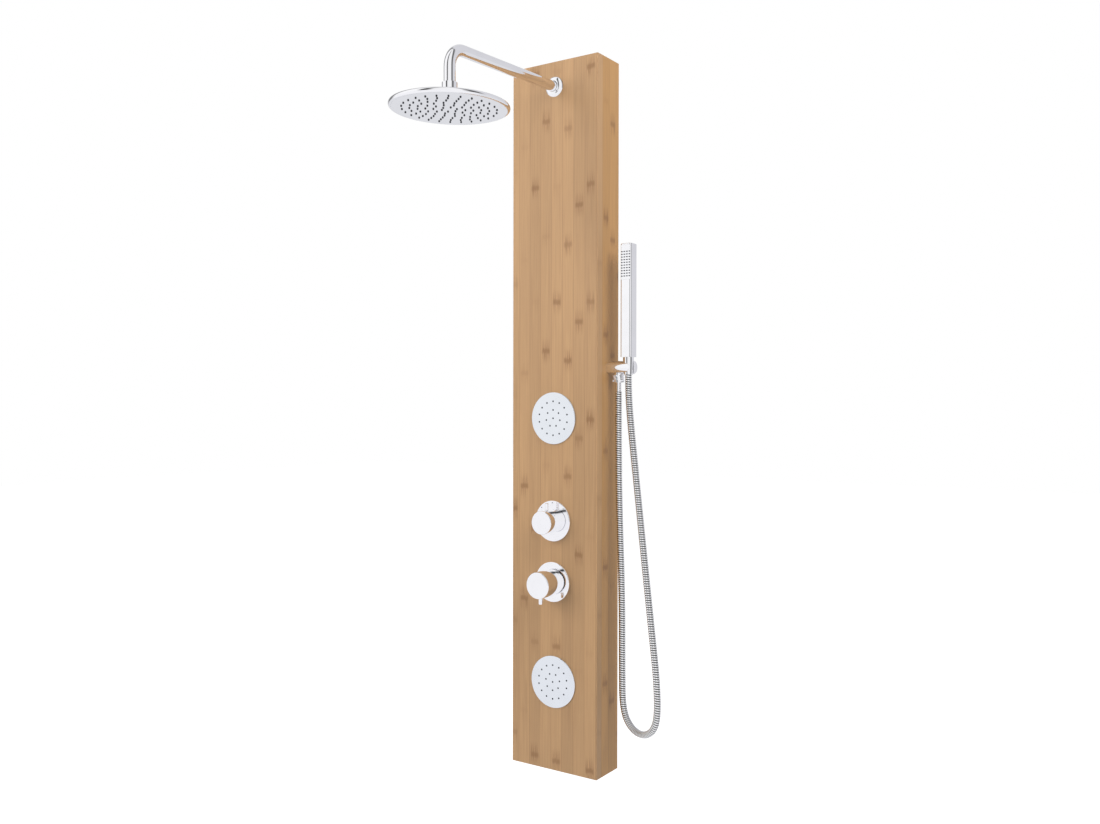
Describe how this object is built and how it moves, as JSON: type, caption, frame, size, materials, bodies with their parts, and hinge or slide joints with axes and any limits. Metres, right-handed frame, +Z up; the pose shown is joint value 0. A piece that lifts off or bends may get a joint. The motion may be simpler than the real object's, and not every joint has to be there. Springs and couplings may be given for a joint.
{
  "type": "shower column",
  "caption": "Wall-hung bamboo shower column with a round rain head on a bent arm, body jets, a diverter, a mixer, and a stick handset on a metal hose.",
  "frame": {"origin": "middle of the upper wall plate's two screw holes, on the wall", "axes": "+X to the right as seen from the room, +Y into the wall, +Z up"},
  "size_m": [0.3399, 0.5064, 1.4],
  "materials": {
    "chrome": "polished",
    "bamboo": "satin lacquered laminated bamboo",
    "wall_steel": "zinc-plated",
    "screw_steel": "plain",
    "brass": "as cast and turned",
    "copper_pipe": "drawn copper pipe",
    "valve_plastic": "moulded",
    "seal_rubber": "matt",
    "nozzle_rubber": "matt silicone",
    "hose_metal": "polished metal hose"
  },
  "bodies": {
    "root": {"arm_elbow": "brass", "arm_end_nut": "chrome", "arm_flange": "chrome", "arm_lock_nut": "brass", "bottom_board": "bamboo", "cartridge_nut": "brass", "check_valves": "valve_plastic", "diverter_body": "brass", "diverter_cartridge": "valve_plastic", "diverter_collar": "chrome", "diverter_lock_nut": "brass", "diverter_plate": "chrome", "front_board": "bamboo", "handset_pipe": "copper_pipe", "hanger_rails": "wall_steel", "head_pipe": "copper_pipe", "hose_nut": "chrome", "inlet_nipples": "brass", "jet_nuts": "valve_plastic", "jet_tee": "brass", "left_side_board": "bamboo", "lower_jet_body": "valve_plastic", "lower_jet_cover": "chrome", "lower_jet_pipe": "copper_pipe", "lower_wall_plate": "wall_steel", "mixed_water_pipe": "copper_pipe", "mixer_body": "brass", "mixer_cartridge": "valve_plastic", "mixer_collar": "chrome", "mixer_lock_nut": "brass", "mixer_plate": "chrome", "outlet_bracket": "chrome", "outlet_elbow": "brass", "outlet_lock_nut": "brass", "rail_screws": "screw_steel", "right_side_board": "bamboo", "shower_arm": "chrome", "shower_hose": "hose_metal", "top_board": "bamboo", "upper_jet_body": "valve_plastic", "upper_jet_cover": "chrome", "upper_jet_pipe": "copper_pipe", "upper_wall_plate": "wall_steel"},
    "diverter_knob": {"diverter_knob": "chrome", "diverter_pin": "chrome", "diverter_spindle": "brass"},
    "mixer_carrier": {"cartridge_carrier": "valve_plastic"},
    "mixer_handle": {"mixer_handle": "chrome", "mixer_handle_pin": "chrome", "cartridge_lever": "brass"},
    "head_stud": {"ball_stud": "chrome"},
    "rain_head": {"ball_cap": "chrome", "ball_seal": "seal_rubber", "head_shell": "chrome", "head_face": "chrome", "head_nozzle_mat": "nozzle_rubber"},
    "hose_end": {"hose_cone_nut": "chrome"},
    "handset": {"handset_body": "chrome", "handset_face_plate": "chrome", "handset_nozzles": "nozzle_rubber"}
  },
  "joints": [
    {"name": "diverter_turn", "type": "hinge", "parent": "root", "child": "diverter_knob", "pos_m": [0, -0.08, -0.7903], "axis": [0, 1, 0], "range_deg": [-45, 45]},
    {"name": "mixer_turn", "type": "hinge", "parent": "root", "child": "mixer_carrier", "pos_m": [0, -0.088, -0.9108], "axis": [0, 1, 0], "range_deg": [-50, 50]},
    {"name": "mixer_tilt", "type": "hinge", "parent": "mixer_carrier", "child": "mixer_handle", "pos_m": [0, -0.088, -0.9108], "axis": [-1, 0, 0], "range_deg": [0, 20]},
    {"name": "head_swivel", "type": "hinge", "parent": "root", "child": "head_stud", "pos_m": [0, -0.4022, -0.0335], "axis": [0, 0, 1], "continuous": true},
    {"name": "head_tilt", "type": "hinge", "parent": "head_stud", "child": "rain_head", "pos_m": [0, -0.4022, -0.0335], "axis": [1, 0, 0], "range_deg": [-15, 15]},
    {"name": "handset_lift", "type": "slide", "parent": "root", "child": "hose_end", "axis": [0, 0, 1], "range_m": [0, 0.06]},
    {"name": "handset_turn", "type": "hinge", "parent": "hose_end", "child": "handset", "pos_m": [0.142, -0.033, -0.468], "axis": [0, 0, 1], "range_deg": [-90, 90]}
  ]
}
